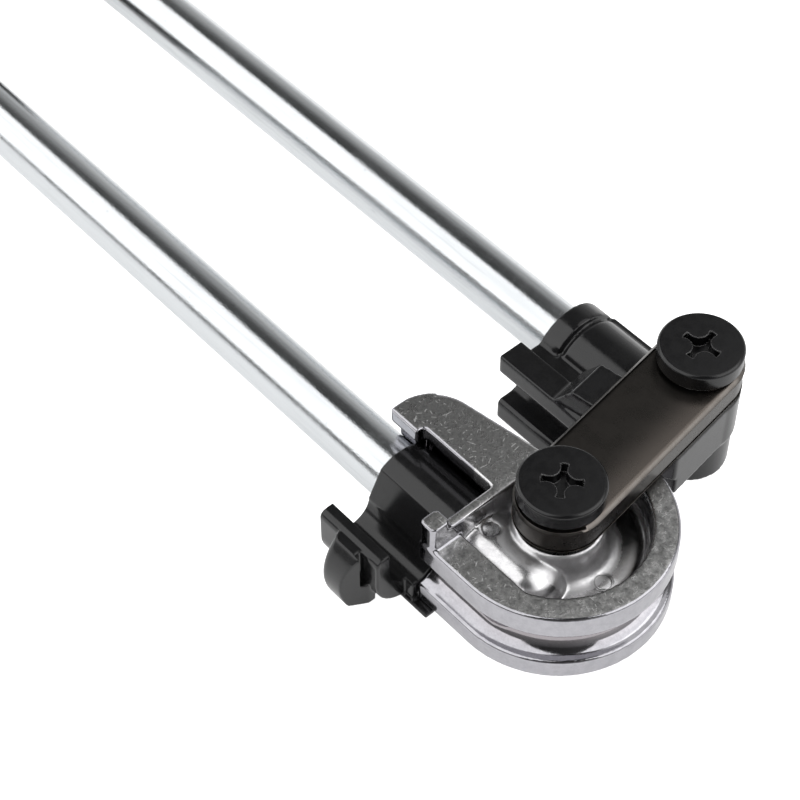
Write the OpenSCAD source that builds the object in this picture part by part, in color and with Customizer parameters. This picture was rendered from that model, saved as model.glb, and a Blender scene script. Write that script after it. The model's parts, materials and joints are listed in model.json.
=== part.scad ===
// Lever tube bender: a grooved die on one handle, a forming shoe on the other, a link between their
// pivots, and a hook latch that turns on the die's handle and holds the tube in the straight groove.
// The die's pivot stands on Z. The handles run towards -X and the shoe lies on the +Y side, with the
// handles parallel, as at the end of a half-turn bend.

/* [Tube] */
// Outside diameter of the tube that is bent
tube_d = 10; // [8:0.5:12]
// Radial room round the tube in the grooves
tube_room = 0.2; // [0.1:0.05:0.5]

/* [Bending die] */
// Bend radius, to the middle of the tube
bend_r = 28.8; // [27:0.2:34]
// Thickness of the flange above the groove
flange_top_t = 7.1; // [6:0.1:9]
// Thickness of the flange below the groove
flange_low_t = 6; // [5:0.1:8]
// Width of the round rim's flat top
rim_w = 6.5; // [5.5:0.1:7]
// Width of the flat top along the straight groove
straight_w = 8.6; // [7:0.1:9.5]
// Length of the straight groove before the bend
straight_l = 17.4; // [16.5:0.1:20]
// Thickness of the web between rim and hub
web_t = 6; // [4:0.2:8]
// Radius of the fillet between the web and the rim
pan_fillet = 3.6; // [3:0.2:4]
// Diameter of the hub
hub_d = 22.4; // [21:0.1:24]
// Radius of the fillet at the hub's foot
hub_fillet = 4; // [3:0.2:6]
// How far the hub stands below the rim
hub_drop = 1.8; // [1:0.1:3]
// Distance from the pivot to the round mark of the mould's ejector
mark_x = 15.6; // [14:0.1:17]
// Diameter of that mark
mark_d = 4.2; // [3:0.1:5]
// Height of the mark above the web
mark_t = 0.35; // [0.2:0.05:0.6]
// Chamfer along the die's edges
die_edge = 0.5; // [0.2:0.1:0.8]

/* [Die arm] */
// Distance from the pivot to the cross rib
rib_x = 12.3; // [12:0.1:14]
// Thickness of the cross rib
rib_t = 2.8; // [2:0.1:3.5]
// Thickness of the arm's top plate
plate_t = 4.8; // [4:0.1:6]
// Reach of the arm along the handle
arm_l = 48.7; // [46:0.1:54]
// Angle of the arm's outer edge
arm_angle = 8; // [7:0.1:10]
// Height of the arm's outer edge at the rib
arm_w = 8.9; // [8:0.1:9.4]
// Radius of the arm's rounded end
arm_end_r = 12.4; // [11:0.1:13]
// Length of the cradle at the arm's end
cradle_l = 6.3; // [5:0.1:8]
// Height of the cradle's edge above the handle's axis, seen from above
cradle_y = 6.2; // [5.6:0.1:6.8]
// Distance from the handle's axis to the arm's edge beside the latch
arm_side = 3.2; // [2.8:0.1:3.6]
// Depth of the notch in that edge
notch_w = 2.4; // [1.8:0.1:2.6]
// Distance from the arm's end to the notch
notch_x = 9.7; // [8:0.1:11]
// How far the cross rib reaches past the handle's axis under the arm
rib_over = 6; // [5:0.1:7]
// Side of the link's stop block
block_w = 5.4; // [4:0.1:6]
// Height of the stop block above the rim
block_h = 7.5; // [6:0.1:8]

/* [Handles] */
// Outside diameter of the handle tubes
handle_d = 16; // [14:0.5:17]
// Wall of the handle tubes
handle_wall = 1.5; // [1:0.1:2.5]
// Length of the handle tubes
handle_l = 330; // [280:5:420]
// Distance from the pivot to the die handle's axis
handle_side = 13.2; // [13:0.1:14.5]
// Distance from the pivot to the die handle's inner end
handle_stop = 4.5; // [4.5:0.1:6]
// Wall of the socket round the die handle
socket_wall = 3.3; // [2.6:0.1:4]
// How far the socket's closed end reaches past the pivot
socket_x = 12.8; // [11:0.1:13.5]
// Diameter of the cross pins that hold the handles
pin_d = 4; // [3:0.5:5]
// Outside diameter of the grips
grip_d = 26; // [24:0.5:30]
// Length of the grips
grip_l = 98; // [90:1:120]
// Thickness of a grip's closed end
grip_end = 4; // [2:0.5:8]

/* [Link] */
// Distance from the die's rim to the shoe pivot
rim_to_shoe = 26; // [24:0.1:30]
// Angle that the link leans past square
link_lead = 8; // [7:0.2:9]
// Width of the link
link_w = 22.2; // [21:0.1:23]
// Thickness of the link
link_t = 7.6; // [6:0.1:9]
// Gap between hub and link, filled by the spacer
link_gap = 1.6; // [1:0.1:2.5]
// Chamfer along the link's edges
link_edge = 0.5; // [0.2:0.1:0.8]

/* [Pivots] */
// Diameter of the screws' shoulders
pivot_d = 10; // [8:0.5:10]
// Wall of the pivot bushes
bush_wall = 1.5; // [1:0.1:2]
// Diameter of the screw thread
thread_d = 8; // [6:1:8]
// Diameter of the screw heads
head_d = 21.6; // [20:0.1:22]
// Height of the screw heads
head_h = 5.2; // [4:0.1:7]
// Chamfer round the screw heads
head_edge = 0.6; // [0.3:0.1:1]
// Thickness of the washers under the heads
head_washer_t = 0.5; // [0.4:0.1:1]
// Span of the cross recess
cross_l = 10; // [8:0.2:12]
// Width of the cross recess at its four points
cross_w = 2.2; // [1.6:0.1:2.8]
// Half width of the recess between its points
cross_core = 1.5; // [1.2:0.1:1.8]
// Depth of the cross recess
cross_depth = 3; // [2:0.1:3.6]
// Turn of the die screw's cross
die_screw_turn = 39; // [0:1:90]
// Turn of the shoe screw's cross
shoe_screw_turn = 8; // [0:1:90]
// Diameter of the spacers
spacer_d = 19; // [16:0.5:20]
// Thickness of the spacer between link and shoe
shoe_spacer_t = 0.6; // [0.4:0.1:1.2]
// Width of the nuts across flats
nut_af = 13; // [12:0.5:13.5]
// Height of the nuts
nut_h = 5.8; // [4:0.1:6]
// Depth of the nut pockets above the rim's underside
pocket_depth = 6.3; // [5.6:0.1:6.6]
// Diameter of the nut washers
nut_washer_d = 16; // [15:0.5:16.5]
// Thickness of the nut washers
nut_washer_t = 1.6; // [1:0.1:2]
// Turning room in the pivots, on the radius
pivot_room = 0.05; // [0.02:0.01:0.1]
// Flat room between pieces that slide on each other
slide_room = 0.05; // [0.03:0.01:0.2]

/* [Shoe] */
// Distance from the shoe pivot to the groove's lips
lip_depth = 29.8; // [29:0.1:31]
// Distance from the shoe pivot to the shoe's far end
shoe_l = 39.1; // [36:0.1:44]
// Half height of the jaws
jaw_h = 11.8; // [11:0.1:12.4]
// Depth of the upper jaw behind the lips
jaw_depth = 7.5; // [6.5:0.1:9]
// Height of the valley floor between upper jaw and barrel
valley_z = 6; // [4:0.2:8]
// Distance from the shoe pivot across to the shoe handle's axis
shoe_handle_side = 5.6; // [5:0.1:7]
// Wall of the barrel round the shoe handle
barrel_wall = 2.9; // [2.4:0.1:3.5]
// Extra radius of the barrel's end collar
collar_step = 0.7; // [0.3:0.1:0.9]
// Length of the end collar
collar_l = 6; // [4:0.1:8]
// Width of the groove behind the collar
collar_groove = 1.4; // [0.8:0.1:2]
// Distance from the shoe pivot to the barrel's closed end
barrel_gap = 6; // [5:0.1:7]
// Gap between the shoe pivot and the shoe handle's end
shoe_handle_stop = 11.6; // [11.6:0.1:14]
// Width of the stop block's flat top beside the link
stop_w = 7.2; // [5:0.1:8]
// Length of the stop block along the link
stop_l = 12.2; // [10:0.1:13]
// Distance from the shoe pivot to the stop block
stop_back = 14.3; // [13.5:0.1:16]
// How far the stop block stands up beside the link
stop_h = 5.2; // [4:0.1:7]
// Run of the stop block's sloping side
stop_run = 5.2; // [4:0.1:6]
// Height of the lug's underside
lug_low = -1; // [-3:0.2:1]
// How far the wall behind the barrel stands out from it
back_out = 0.4; // [0.2:0.1:1]
// Height of the wall behind the barrel
back_z = 5.2; // [3:0.1:7]

/* [Latch] */
// Length of the hook along the handle
hook_l = 21; // [18:0.1:22]
// Length of the latch's web along the handle
web_l = 24; // [23:0.1:25]
// Wall of the latch's sleeve
sleeve_wall = 1.7; // [1.4:0.1:1.8]
// Thickness of the hook's blade
blade_t = 4.2; // [3.4:0.1:4.8]
// Height of the blade above the groove's middle
blade_z = 7.4; // [5:0.1:9]
// Radius of the hook's rounded outer corner
hook_r = 10; // [8:0.2:11]
// Clearance of the hook above the surface the tool lies on
hook_clear = 0.9; // [0.6:0.1:1.2]
// How far the thumb tab stands out from the blade
tab_out = 6.2; // [5:0.1:6.6]
// Distance from the hook's end to the thumb tab
tab_x = 7; // [5:0.1:7.4]
// Length of the thumb tab along the handle
tab_l = 11; // [9:0.1:12]
// Slant of the tab's end towards the die, in degrees
tab_slant = 30; // [20:1:35]
// Length of the notch between the tab's end and the blade
tab_notch = 3; // [2:0.1:4]
// Width of that notch
tab_notch_w = 1.8; // [1.4:0.1:2.4]
// Length of the stop tail under the die
tail_l = 8.5; // [7.5:0.1:10]
// Width of the stop tail
tail_w = 3.2; // [2.4:0.1:3.4]
// Thickness of the stop tail
tail_t = 1.3; // [1:0.1:1.4]

/* [Clearances] */
// Gap at the stops between moving pieces
stop_gap = 0.4; // [0.3:0.05:0.8]
// Turning room of the latch on the handle, on the radius
latch_room = 0.08; // [0.04:0.01:0.1]
// Fixing room of the handles in their sockets, on the radius
fit_room = 0.02; // [0.01:0.01:0.05]

/* [Hidden] */
$fn = 72;
past = 1;
groove_r = tube_d / 2 + tube_room;
rim_top = groove_r + flange_top_t;
rim_low = groove_r + flange_low_t;
groove_h = rim_low + hub_drop;
rim_in = bend_r - rim_w;
handle_r = handle_d / 2;
handle_y = -handle_side;
socket_r = handle_r + socket_wall;
socket_round = 0.96 * socket_r;
rib_end = rib_x + rib_t;
link_cc = bend_r + rim_to_shoe;
link_low = rim_top + link_gap;
link_top = link_low + link_t;
shoe_x = -link_cc * sin(link_lead);
shoe_y = link_cc * cos(link_lead);
lip_y = shoe_y - lip_depth;
tube_y = shoe_y - rim_to_shoe + tube_room;
shoe_end = shoe_x - shoe_l;
shoe_handle_y = shoe_y - shoe_handle_side;
barrel_r = handle_r + barrel_wall;
barrel_stop = shoe_x - barrel_gap;
lug_top = link_low - shoe_spacer_t;
lug_reach = rim_to_shoe - 1.25 * stop_gap;
boss_r = 0.509 * link_w;
boss_low_r = 0.482 * link_w;
bush_r = pivot_d / 2 + bush_wall;
washer_r = 0.446 * link_w;
shank_low = -(rim_low - pocket_depth);
nut_pocket_r = 0.5375 * nut_washer_d;
sleeve_r = handle_r + latch_room + sleeve_wall;
latch_stop = -straight_l - stop_gap;
latch_end = latch_stop - web_l;
arm_wall_y = handle_y + sleeve_r + stop_gap;
arm_wall_low = -0.57 * rim_top;
channel_y = handle_side - bend_r;
blade_in = channel_y - groove_r - stop_gap;
blade_out = blade_in - blade_t;
blade_round = blade_t / 2;
hook_low = -groove_h + hook_clear;
tail_top = -rim_low - 0.75 * stop_gap;
lip_edge = 0.135 * groove_r;
path_room = 0.75 * stop_gap;
path_half = groove_r - tube_room;
tab_r = channel_y - blade_out + tab_out;
tab_z = -0.4 * tube_d;
tab_edge = 0.2 * tab_l;
handle_end = -handle_stop - handle_l;
shoe_handle_in = shoe_x - shoe_handle_stop;
shoe_handle_end = shoe_handle_in - handle_l;
grip_side_r = grip_d / 2;
pin_x = -0.536 * (rib_x + handle_stop);
shoe_pin_x = shoe_end + shoe_l / 2;
pin_sink = 0.01 * pin_d;

// Lifts the work from the groove's mid plane to the surface that the tool lies on
module lift() {
    translate([0, 0, groove_h]) children();
}

// Turns the work so that +Y runs along the link
module along_link() {
    rotate([0, 0, link_lead]) children();
}

// Moves the work to the shoe's pivot
module at_shoe() {
    translate([shoe_x, shoe_y, 0]) children();
}

// Extrudes a Y-Z outline along +X, from x0 to x1
module along_x(x0, x1) {
    translate([x0, 0, 0]) rotate([90, 0, 90]) linear_extrude(x1 - x0) children();
}

// Round bar along X at height zero
module bar_x(r, x0, x1, y) {
    translate([x0, y, 0]) rotate([0, 90, 0]) cylinder(r = r, h = x1 - x0);
}

// Disc with chamfered edges
module chamfered_disc(r, h, edge) {
    rotate_extrude() polygon([[0, 0], [r - edge, 0], [r, edge], [r, h - edge], [r - edge, h], [0, h]]);
}

// Flat ring
module ring(r_out, r_in, z0, z1) {
    translate([0, 0, z0]) difference() {
        cylinder(r = r_out, h = z1 - z0);
        translate([0, 0, -past]) cylinder(r = r_in, h = z1 - z0 + 2 * past);
    }
}

// Section of the grooved rim: radius to the right, height up
module rim_section(inner) {
    difference() {
        polygon([[inner, -rim_low], [bend_r - die_edge, -rim_low], [bend_r, -rim_low + die_edge],
            [bend_r, rim_top - die_edge], [bend_r - die_edge, rim_top], [inner, rim_top]]);
        translate([bend_r, 0]) circle(groove_r);
        for (side = [-1, 1]) {
            translate([bend_r, side * groove_r]) rotate(45) square(die_edge, center = true);
        }
    }
}

// Section of the hollow fillet at the rim's foot, above and below the web
module pan_corner() {
    foot = web_t / 2 + pan_fillet;
    inner = rim_in - pan_fillet;
    difference() {
        translate([inner, -foot]) square([pan_fillet + die_edge, 2 * foot]);
        for (side = [-1, 1]) {
            translate([inner, side * foot]) circle(pan_fillet);
        }
    }
}

// Outline of the arm's top plate, from the rib to the rounded end
module arm_outline() {
    end_x = -arm_l + arm_end_r;
    edge_y = arm_w - (arm_l - arm_end_r - rib_x) * tan(arm_angle);
    centre_y = edge_y - arm_end_r / cos(arm_angle);
    link_side = link_w / 2 + stop_gap;
    top_y = arm_w + stop_gap;
    side_y = handle_y + arm_side;
    difference() {
        union() {
            translate([end_x, centre_y]) circle(arm_end_r);
            polygon([[-arm_l, centre_y], [-arm_l, side_y], [-rib_x, side_y],
                [-rib_x, 0], [-link_side / cos(link_lead) - top_y * tan(link_lead), top_y],
                [end_x - arm_end_r * sin(arm_angle), centre_y + arm_end_r * cos(arm_angle)]]);
        }
        translate([-arm_l - past, side_y - 2 * arm_end_r]) square([2 * arm_l, 2 * arm_end_r]);
        translate([notch_x - arm_l, side_y - past]) square([arm_l - notch_x - rib_end, notch_w + past]);
    }
}

// Bending die with hub, handle socket, arm and stop block, one casting
module bend_die() {
    color("#b9bcbe") lift() difference() {
        union() {
            intersection() {
                rotate([0, 0, -90]) rotate_extrude(angle = 230) union() {
                    rim_section(rim_in);
                    pan_corner();
                }
                translate([-rib_x, -2 * bend_r, -groove_h]) cube([4 * bend_r, 4 * bend_r, 4 * rim_top]);
            }
            along_x(-straight_l, 0) mirror([1, 0]) rim_section(bend_r - straight_w);
            translate([0, 0, -web_t / 2]) linear_extrude(web_t) intersection() {
                circle(rim_in + die_edge);
                translate([-rib_x, -2 * bend_r]) square([4 * bend_r, 4 * bend_r]);
            }
            translate([0, 0, -rim_low]) linear_extrude(rim_low + rim_top) intersection() {
                circle(rim_in + die_edge);
                translate([-rib_x, -2 * bend_r]) square([2 * bend_r, bend_r + straight_w]);
            }
            intersection() {
                hub();
                translate([-rib_x - rib_t / 2, -2 * bend_r, -2 * groove_h]) {
                    cube([4 * bend_r, 4 * bend_r, 4 * groove_h]);
                }
            }
            handle_socket();
            cross_rib();
            translate([0, 0, rim_top]) linear_extrude(plate_t) arm_outline();
            arm_wall();
            stop_block();
            translate([mark_x, 0, 0]) cylinder(d = mark_d, h = web_t / 2 + mark_t);
        }
        bar_x(handle_r + fit_room, -arm_l - past, -handle_stop, handle_y);
        translate([0, 0, -groove_h - past]) cylinder(d = pivot_d, h = groove_h + rim_top + 2 * past);
        translate([0, 0, -groove_h - past]) {
            cylinder(r = nut_pocket_r, h = groove_h + shank_low + past);
        }
        translate([pin_x, handle_y, -socket_r - past]) {
            cylinder(d = pin_d, h = 2 * (socket_r + past));
        }
    }
}

// Hub with a hollow fillet at its foot, above and below the web
module hub() {
    r = hub_d / 2;
    foot = web_t / 2;
    rotate_extrude() difference() {
        polygon([[0, -groove_h], [r - die_edge, -groove_h], [r, -groove_h + die_edge],
            [r, -foot - hub_fillet], [r + hub_fillet, -foot], [r + hub_fillet, foot],
            [r, foot + hub_fillet], [r, rim_top - die_edge], [r - die_edge, rim_top], [0, rim_top]]);
        for (side = [-1, 1]) {
            translate([r + hub_fillet, side * (foot + hub_fillet)]) circle(hub_fillet);
        }
    }
}

// Socket round the die handle, closed by a dome
module handle_socket() {
    l = rib_x + socket_x;
    translate([-rib_x, handle_y, 0]) rotate([0, 90, 0]) rotate_extrude() union() {
        square([socket_r - socket_round, l]);
        square([socket_r, l - socket_round]);
        intersection() {
            translate([socket_r - socket_round, l - socket_round]) circle(socket_round);
            square([socket_r, l]);
        }
    }
}

// Cross rib at the die's end, up to the top of the arm's plate beside the block
module cross_rib() {
    low_y = -bend_r + straight_w;
    translate([-rib_end, low_y, -rim_low]) cube([rib_t, rim_in - low_y - arm_side, rim_low + rim_top]);
    translate([-rib_end, -bend_r + block_w, rim_top]) {
        cube([rib_t, bend_r - block_w + handle_y + rib_over, plate_t]);
    }
}

// Wall under the arm's plate, beside the latch, with a cradle that bears on the handle
module arm_wall() {
    cradle_x = -arm_l + cradle_l;
    translate([0, 0, arm_wall_low]) linear_extrude(rim_top - arm_wall_low) difference() {
        arm_outline();
        translate([cradle_x, -arm_l]) square([arm_l, arm_l + arm_wall_y]);
        translate([-arm_l - past, -arm_l]) square([cradle_l + 2 * past, arm_l + handle_y + cradle_y]);
    }
}

// Block that stops the link at the start of a bend
module stop_block() {
    round_r = 0.24 * block_w;
    x0 = -straight_l;
    w = straight_l - rib_x;
    translate([x0, -bend_r + stop_gap / 2, rim_top - past]) linear_extrude(block_h + past) union() {
        for (x = [round_r, w - round_r], y = [round_r, block_w - round_r]) {
            translate([x, y]) circle(round_r);
        }
        translate([round_r, 0]) square([w - 2 * round_r, block_w]);
        translate([0, round_r]) square([w, block_w - 2 * round_r]);
    }
}

// Steel handle tube on the die
module die_handle() {
    color("#d9dde0") lift() difference() {
        bar_x(handle_r, handle_end, -handle_stop, handle_y);
        bar_x(handle_r - handle_wall, handle_end - past, -handle_stop + past, handle_y);
        translate([pin_x, handle_y, -handle_r - past]) cylinder(d = pin_d, h = handle_d + 2 * past);
    }
}

// Cross pin through the die's socket and handle, dressed flush with the socket
module die_handle_pin() {
    color("#9a9da0") lift() intersection() {
        translate([pin_x, handle_y, -socket_r]) cylinder(d = pin_d, h = 2 * socket_r);
        bar_x(socket_r - pin_sink, pin_x - pin_d, pin_x + pin_d, handle_y);
    }
}

// Grip pushed over a handle's end, closed and rounded at the back
module grip(end_x, y) {
    color("#202224") lift() difference() {
        translate([end_x - grip_end, y, 0]) rotate([0, 90, 0]) rotate_extrude() union() {
            translate([0, grip_end]) square([grip_side_r, grip_l - 2 * grip_end]);
            square([grip_side_r - grip_end, grip_l]);
            for (z = [grip_end, grip_l - grip_end]) {
                translate([grip_side_r - grip_end, z]) circle(grip_end);
            }
        }
        bar_x(handle_r + fit_room, end_x, end_x + grip_l, y);
    }
}

module die_grip() {
    grip(handle_end, handle_y);
}

module shoe_grip() {
    grip(shoe_handle_end, shoe_handle_y);
}

// Hook's outline across the handle, measured from the handle's axis: sleeve, floor and blade
module hook_outline() {
    difference() {
        union() {
            circle(sleeve_r);
            translate([blade_out + hook_r, hook_low + hook_r]) circle(hook_r);
            translate([blade_out + blade_round, blade_z - blade_round]) circle(blade_round);
            polygon([[blade_out, hook_low + hook_r], [blade_out, blade_z - blade_round],
                [blade_out + blade_round, blade_z], [blade_in, blade_z], [blade_in, channel_y / 3],
                [-0.7 * sleeve_r, 0.7 * sleeve_r], [0, 0], [-0.55 * sleeve_r, -0.8 * sleeve_r],
                [channel_y + 0.31 * groove_r, hook_low], [blade_out + hook_r, hook_low]]);
        }
        hook_channel();
    }
}

// Room for the tube between sleeve and blade, open at the top
module hook_channel() {
    translate([channel_y, -stop_gap]) circle(groove_r + path_room);
    polygon([[blade_in, 0], [channel_y + groove_r, -2 * stop_gap], [-0.62 * sleeve_r, 0.78 * sleeve_r],
        [-0.62 * sleeve_r, 4 * sleeve_r], [blade_in, 4 * sleeve_r]]);
}

// Part of the hook's outline that reaches the die: sleeve and inner wall
module web_outline() {
    intersection() {
        hook_outline();
        translate([channel_y - 0.23 * groove_r, -2 * groove_h]) square([4 * sleeve_r, 4 * groove_h]);
    }
}

// Latch: a sleeve that turns on the die's handle, with hook, thumb tab and stop tail
module latch() {
    hook_end = latch_end + hook_l;
    color("#25272a") lift() translate([0, handle_y, 0]) difference() {
        union() {
            along_x(latch_end, hook_end) hook_outline();
            along_x(hook_end - past, latch_stop) web_outline();
            thumb_tab();
            latch_tail(hook_end);
        }
        bar_x(handle_r + latch_room, latch_end - past, latch_stop + past, 0);
    }
}

// Thumb tab on the blade, a rounded drum about the tube's line, with a slanted end and a notch
module thumb_tab() {
    x0 = latch_end + tab_x;
    tab_low = hook_low + 2 * stop_gap;
    difference() {
        intersection() {
            translate([x0, channel_y, tab_z]) rotate([0, 90, 0]) rotate_extrude() union() {
                square([tab_r - tab_edge, tab_l]);
                translate([0, tab_edge]) square([tab_r, tab_l - 2 * tab_edge]);
                for (z = [tab_edge, tab_l - tab_edge]) {
                    translate([tab_r - tab_edge, z]) circle(tab_edge);
                }
            }
            translate([x0 - past, blade_out - 2 * tab_out, tab_low]) {
                cube([tab_l + 2 * past, 2 * tab_out + blade_round, blade_z - blade_round / 4 - tab_low]);
            }
        }
        translate([x0 + tab_l, blade_out, tab_low - past]) rotate([0, 0, -tab_slant]) {
            translate([0, -3 * tab_out, 0]) cube([3 * tab_out, 4 * tab_out, 3 * groove_h]);
        }
        translate([x0 + tab_l - tab_notch, blade_out - tab_notch_w, tab_z]) {
            cube([tab_notch + past, tab_notch_w, 2 * groove_h]);
        }
    }
}

// Tail that bears against the underside of the die when the latch is closed
module latch_tail(hook_end) {
    tail_y = channel_y - 0.385 * groove_r;
    translate([hook_end - past, tail_y, tail_top - tail_t]) cube([tail_l + past, tail_w, tail_t]);
}

// Link between the two pivots
module link_plate() {
    half = link_w / 2;
    color("#2f2c29") lift() along_link() difference() {
        union() {
            for (y = [0, link_cc]) {
                translate([0, y, link_low]) chamfered_disc(half, link_t, link_edge);
            }
            translate([0, link_cc, link_low]) rotate([90, 0, 0]) linear_extrude(link_cc) {
                polygon([[-half + link_edge, 0], [half - link_edge, 0], [half, link_edge],
                    [half, link_t - link_edge], [half - link_edge, link_t], [-half + link_edge, link_t],
                    [-half, link_t - link_edge], [-half, link_edge]]);
            }
        }
        translate([0, 0, link_low - past]) cylinder(r = bush_r, h = link_t + 2 * past);
        translate([0, link_cc, link_low - past]) cylinder(d = pivot_d, h = link_t + 2 * past);
    }
}

// Bush pressed into the link round the die's screw
module link_bush() {
    color("#b08d4a") lift() ring(bush_r, pivot_d / 2 + pivot_room, link_low, link_top);
}

// Shoulder screw with a cross recess in its head
module shoulder_screw() {
    under = link_top + head_washer_t;
    difference() {
        union() {
            translate([0, 0, under]) chamfered_disc(head_d / 2, head_h, head_edge);
            translate([0, 0, shank_low]) cylinder(d = pivot_d, h = under - shank_low + past);
            translate([0, 0, shank_low - nut_washer_t - nut_h]) {
                cylinder(d = thread_d, h = nut_washer_t + nut_h + past);
            }
        }
        translate([0, 0, under + head_h - cross_depth]) linear_extrude(cross_depth + past) cross_recess();
    }
}

// Four-pointed recess: a disc less four round bites between the points
module cross_recess() {
    bite_x = (cross_l * cross_l / 4 + cross_w * cross_w / 4 - 2 * cross_core * cross_core)
        / (cross_l + cross_w - 4 * cross_core);
    bite_r = sqrt(2) * (bite_x - cross_core);
    difference() {
        circle(d = cross_l);
        for (x = [-bite_x, bite_x], y = [-bite_x, bite_x]) {
            translate([x, y]) circle(bite_r);
        }
    }
}

// Six-sided nut on the screw's thread
module lock_nut() {
    top = shank_low - nut_washer_t;
    translate([0, 0, top - nut_h]) difference() {
        cylinder(d = nut_af / cos(30), h = nut_h, $fn = 6);
        translate([0, 0, -past]) cylinder(d = thread_d, h = nut_h + 2 * past);
    }
}

module die_pivot_screw() {
    color("#1d1e20") lift() rotate([0, 0, die_screw_turn]) shoulder_screw();
}

module die_head_washer() {
    color("#2a2b2d") lift() ring(washer_r, pivot_d / 2, link_top + slide_room, link_top + head_washer_t);
}

module die_pivot_spacer() {
    color("#6e7174") lift() ring(spacer_d / 2, pivot_d / 2, rim_top, link_low - slide_room);
}

module die_nut_washer() {
    color("#9a9da0") lift() ring(nut_washer_d / 2, thread_d / 2, shank_low - nut_washer_t, shank_low);
}

module die_pivot_nut() {
    color("#8c8f92") lift() lock_nut();
}

// Forming shoe: grooved jaws, barrel for the handle, lug and boss on the pivot, and a stop block
module shoe() {
    color("#202225") lift() difference() {
        union() {
            jaws();
            barrel();
            shoe_lug();
            shoe_stop();
        }
        shoe_groove();
        lip_chamfers();
        translate([0, 0, -groove_h - past]) cylinder(r = bend_r + stop_gap, h = 4 * rim_top);
        bar_x(handle_r + fit_room, shoe_end - past, shoe_handle_in, shoe_handle_y);
        at_shoe() {
            translate([0, 0, -groove_h - past]) cylinder(r = bush_r, h = groove_h + lug_top + 2 * past);
            translate([0, 0, -groove_h - past]) {
                cylinder(r = nut_pocket_r, h = groove_h + shank_low + slide_room + past);
            }
        }
        pin_hole(4 * barrel_r);
    }
}

// Hole for the cross pin through barrel and handle
module pin_hole(l) {
    translate([shoe_pin_x, shoe_handle_y + l / 2, 0]) rotate([90, 0, 0]) cylinder(d = pin_d, h = l);
}

// Jaws with the valley between the upper jaw and the barrel
module jaws() {
    l = barrel_stop - shoe_end;
    translate([shoe_end, lip_y, -jaw_h]) cube([l, jaw_depth, 2 * jaw_h]);
    translate([shoe_end, lip_y, -jaw_h]) cube([l, shoe_handle_y - lip_y, jaw_h + valley_z]);
}

// Groove for the tube: a channel behind the lips, and the tube's path round the die
module shoe_groove() {
    bar_x(groove_r, shoe_end - past, 0, tube_y);
    translate([shoe_end - past, lip_y - past, -groove_r]) {
        cube([past - shoe_end, tube_y - lip_y + past, 2 * groove_r]);
    }
    translate([0, 0, -path_half]) cylinder(r = bend_r + groove_r + path_room, h = 2 * path_half);
}

// Chamfers along the lips of the shoe's groove
module lip_chamfers() {
    for (side = [-1, 1]) {
        translate([shoe_end - past, lip_y, side * groove_r]) rotate([45, 0, 0]) {
            translate([0, -lip_edge, -lip_edge]) cube([shoe_l + 2 * past, 2 * lip_edge, 2 * lip_edge]);
        }
    }
}

// Barrel round the shoe's handle, with an end collar, a groove behind it and a wall at the back
module barrel() {
    collar_end = shoe_end + collar_l;
    bar_x(barrel_r + collar_step, shoe_end, collar_end, shoe_handle_y);
    bar_x(barrel_r - collar_step, shoe_end, barrel_stop, shoe_handle_y);
    bar_x(barrel_r, collar_end + collar_groove, barrel_stop, shoe_handle_y);
    translate([collar_end, shoe_handle_y, -jaw_h]) {
        cube([barrel_stop - collar_end, barrel_r + back_out, jaw_h + back_z]);
    }
}

// Lug under the link, and the boss round the pivot
module shoe_lug() {
    translate([0, 0, lug_low]) linear_extrude(lug_top - lug_low) along_link() intersection() {
        translate([-link_w / 2, 0]) square([link_w, link_cc]);
        translate([0, link_cc]) circle(lug_reach);
    }
    at_shoe() {
        translate([0, 0, lug_low]) cylinder(r = boss_r, h = lug_top - lug_low);
        translate([0, 0, -groove_h]) cylinder(r = boss_low_r, h = groove_h + lug_low);
    }
}

// Block beside the link that carries the handle's pull to it, with a sloping side
module shoe_stop() {
    side = -link_w / 2 - stop_gap;
    flat = side - stop_w;
    top = lug_top + stop_h;
    along_link() translate([0, link_cc - stop_back, 0]) rotate([90, 0, 0]) linear_extrude(stop_l) {
        polygon([[side, 0], [side, top], [flat, top], [flat - stop_run, jaw_h], [flat - stop_run, 0]]);
    }
}

// Bush pressed into the shoe
module shoe_bush() {
    bush_in = pivot_d / 2 + pivot_room;
    color("#b08d4a") lift() at_shoe() ring(bush_r, bush_in, shank_low + slide_room, lug_top);
}

// Steel handle tube on the shoe
module shoe_handle() {
    color("#d9dde0") lift() difference() {
        bar_x(handle_r, shoe_handle_end, shoe_handle_in, shoe_handle_y);
        bar_x(handle_r - handle_wall, shoe_handle_end - past, shoe_handle_in + past, shoe_handle_y);
        pin_hole(4 * barrel_r);
    }
}

// Cross pin through the shoe's barrel and handle, from the back
module shoe_handle_pin() {
    color("#9a9da0") lift() intersection() {
        translate([shoe_pin_x, shoe_handle_y + barrel_r, 0]) rotate([90, 0, 0]) {
            cylinder(d = pin_d, h = 2 * barrel_r);
        }
        bar_x(barrel_r - pin_sink, shoe_pin_x - pin_d, shoe_pin_x + pin_d, shoe_handle_y);
    }
}

module shoe_pivot_screw() {
    color("#1d1e20") lift() at_shoe() rotate([0, 0, shoe_screw_turn]) shoulder_screw();
}

module shoe_head_washer() {
    color("#2a2b2d") lift() at_shoe() ring(washer_r, pivot_d / 2, link_top, link_top + head_washer_t);
}

module shoe_pivot_spacer() {
    color("#6e7174") lift() at_shoe() ring(spacer_d / 2, pivot_d / 2, lug_top + slide_room, link_low);
}

module shoe_nut_washer() {
    low = shank_low - nut_washer_t;
    color("#9a9da0") lift() at_shoe() ring(nut_washer_d / 2, thread_d / 2, low, shank_low);
}

module shoe_pivot_nut() {
    color("#8c8f92") lift() at_shoe() lock_nut();
}

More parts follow.
